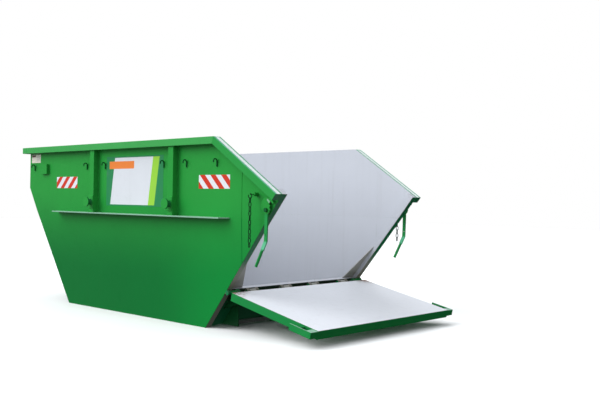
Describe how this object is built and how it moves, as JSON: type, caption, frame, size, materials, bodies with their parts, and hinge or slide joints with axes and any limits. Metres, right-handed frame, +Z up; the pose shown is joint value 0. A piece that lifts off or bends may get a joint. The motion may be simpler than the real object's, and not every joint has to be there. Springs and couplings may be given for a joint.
{
  "type": "builders skip",
  "caption": "Open steel skip with sloping ends, a drop flap on hinges at one end, claw locks on hand levers, safety chains, lifting pins, net hooks and tipping pockets",
  "frame": {"origin": "the middle of the base on the ground, halfway along the flat bottom and on the centre line", "axes": "+X to the end with the flap, +Z up, -Y the skip's right side, which the picture shows"},
  "size_m": [4.4947, 2.148, 1.7],
  "materials": {
    "side_paint": "semi-gloss green paint, lightly worn",
    "lower_paint": "semi-gloss dark green paint, scuffed",
    "rim_paint": "semi-gloss green paint, worn along the edges",
    "end_paint": "green paint with rust at the foot",
    "floor_steel": "bare worn steel plate",
    "tipping_steel": "worn green paint over rusty steel",
    "pin_steel": "turned steel, worn bright",
    "pad_paint": "green paint",
    "flap_paint": "green paint, scuffed",
    "flap_sheet": "worn bright steel sheet with paint left at the edges",
    "lever_paint": "green paint, worn at the grip",
    "claw_steel": "heavy flame-cut steel, worn",
    "bolt_steel": "zinc-coated steel",
    "chain_steel": "zinc-coated steel",
    "hazard_film": "red and white reflective film on thin plates",
    "panel_film": "printed film, plain panels",
    "label_film": "plain printed film"
  },
  "bodies": {
    "skip": {"chain_pegs": "bolt_steel", "corner_gussets": "end_paint", "fixed_hinge_knuckles": "end_paint", "flag_pockets": "side_paint", "flap_stops": "end_paint", "floor_plate": "floor_steel", "floor_runners": "floor_steel", "front_lower_plate": "end_paint", "front_tipping_bars": "tipping_steel", "front_tipping_cheeks": "tipping_steel", "hazard_markers": "hazard_film", "hinge_beam": "end_paint", "hinge_pins": "pin_steel", "label_plates": "label_film", "lifting_pin_pads": "pad_paint", "lifting_pins": "pin_steel", "lock_pivot_bolts": "bolt_steel", "lock_spacers": "bolt_steel", "lower_end_posts": "end_paint", "lower_nose_plates": "lower_paint", "lower_side_plate_left": "lower_paint", "lower_side_plate_right": "lower_paint", "net_hooks": "side_paint", "rear_lower_plate": "lower_paint", "rear_rim": "rim_paint", "rear_tipping_bars": "tipping_steel", "rear_tipping_cheeks": "tipping_steel", "rear_upper_plate": "side_paint", "side_ribs_left": "side_paint", "side_ribs_right": "side_paint", "side_rim_left": "rim_paint", "side_rim_right": "rim_paint", "sign_panels": "panel_film", "sloped_rim_left": "rim_paint", "sloped_rim_right": "rim_paint", "stacking_ledge_left": "lower_paint", "stacking_ledge_right": "lower_paint", "threshold_plate": "end_paint", "upper_end_posts": "end_paint", "upper_nose_plates": "side_paint", "upper_side_plate_left": "side_paint", "upper_side_plate_right": "side_paint"},
    "flap": {"flap_plate": "flap_sheet", "flap_side_rails": "flap_paint", "flap_outer_rail": "flap_paint", "flap_hinge_rail": "flap_paint", "flap_stiffeners": "flap_paint", "flap_hinge_knuckles": "flap_paint", "flap_keeper_boxes": "flap_paint", "flap_keeper_pins": "pin_steel"},
    "lever_right": {"lock_claw_right": "claw_steel", "lock_lever_right": "lever_paint", "lock_handle_right": "lever_paint"},
    "lever_left": {"lock_claw_left": "claw_steel", "lock_lever_left": "lever_paint", "lock_handle_left": "lever_paint"},
    "chain_right": {"safety_chain_right": "chain_steel"},
    "chain_left": {"safety_chain_left": "chain_steel"}
  },
  "joints": [
    {"name": "flap_hinge", "type": "hinge", "parent": "skip", "child": "flap", "pos_m": [1.43106, 0, 0.33863], "axis": [0, -1, 0], "range_deg": [0, 62.96]},
    {"name": "lock_lever_right_turn", "type": "hinge", "parent": "skip", "child": "lever_right", "pos_m": [1.94437, -0.972, 1.07123], "axis": [0, 1, 0], "range_deg": [-5, 52]},
    {"name": "lock_lever_left_turn", "type": "hinge", "parent": "skip", "child": "lever_left", "pos_m": [1.94437, 0.972, 1.07123], "axis": [0, 1, 0], "range_deg": [-5, 52]},
    {"name": "safety_chain_right_swing", "type": "hinge", "parent": "skip", "child": "chain_right", "pos_m": [1.81037, -1.035, 1.19823], "axis": [0, 1, 0], "range_deg": [-20, 20]},
    {"name": "safety_chain_left_swing", "type": "hinge", "parent": "skip", "child": "chain_left", "pos_m": [1.81037, 1.035, 1.19823], "axis": [0, 1, 0], "range_deg": [-20, 20]}
  ]
}
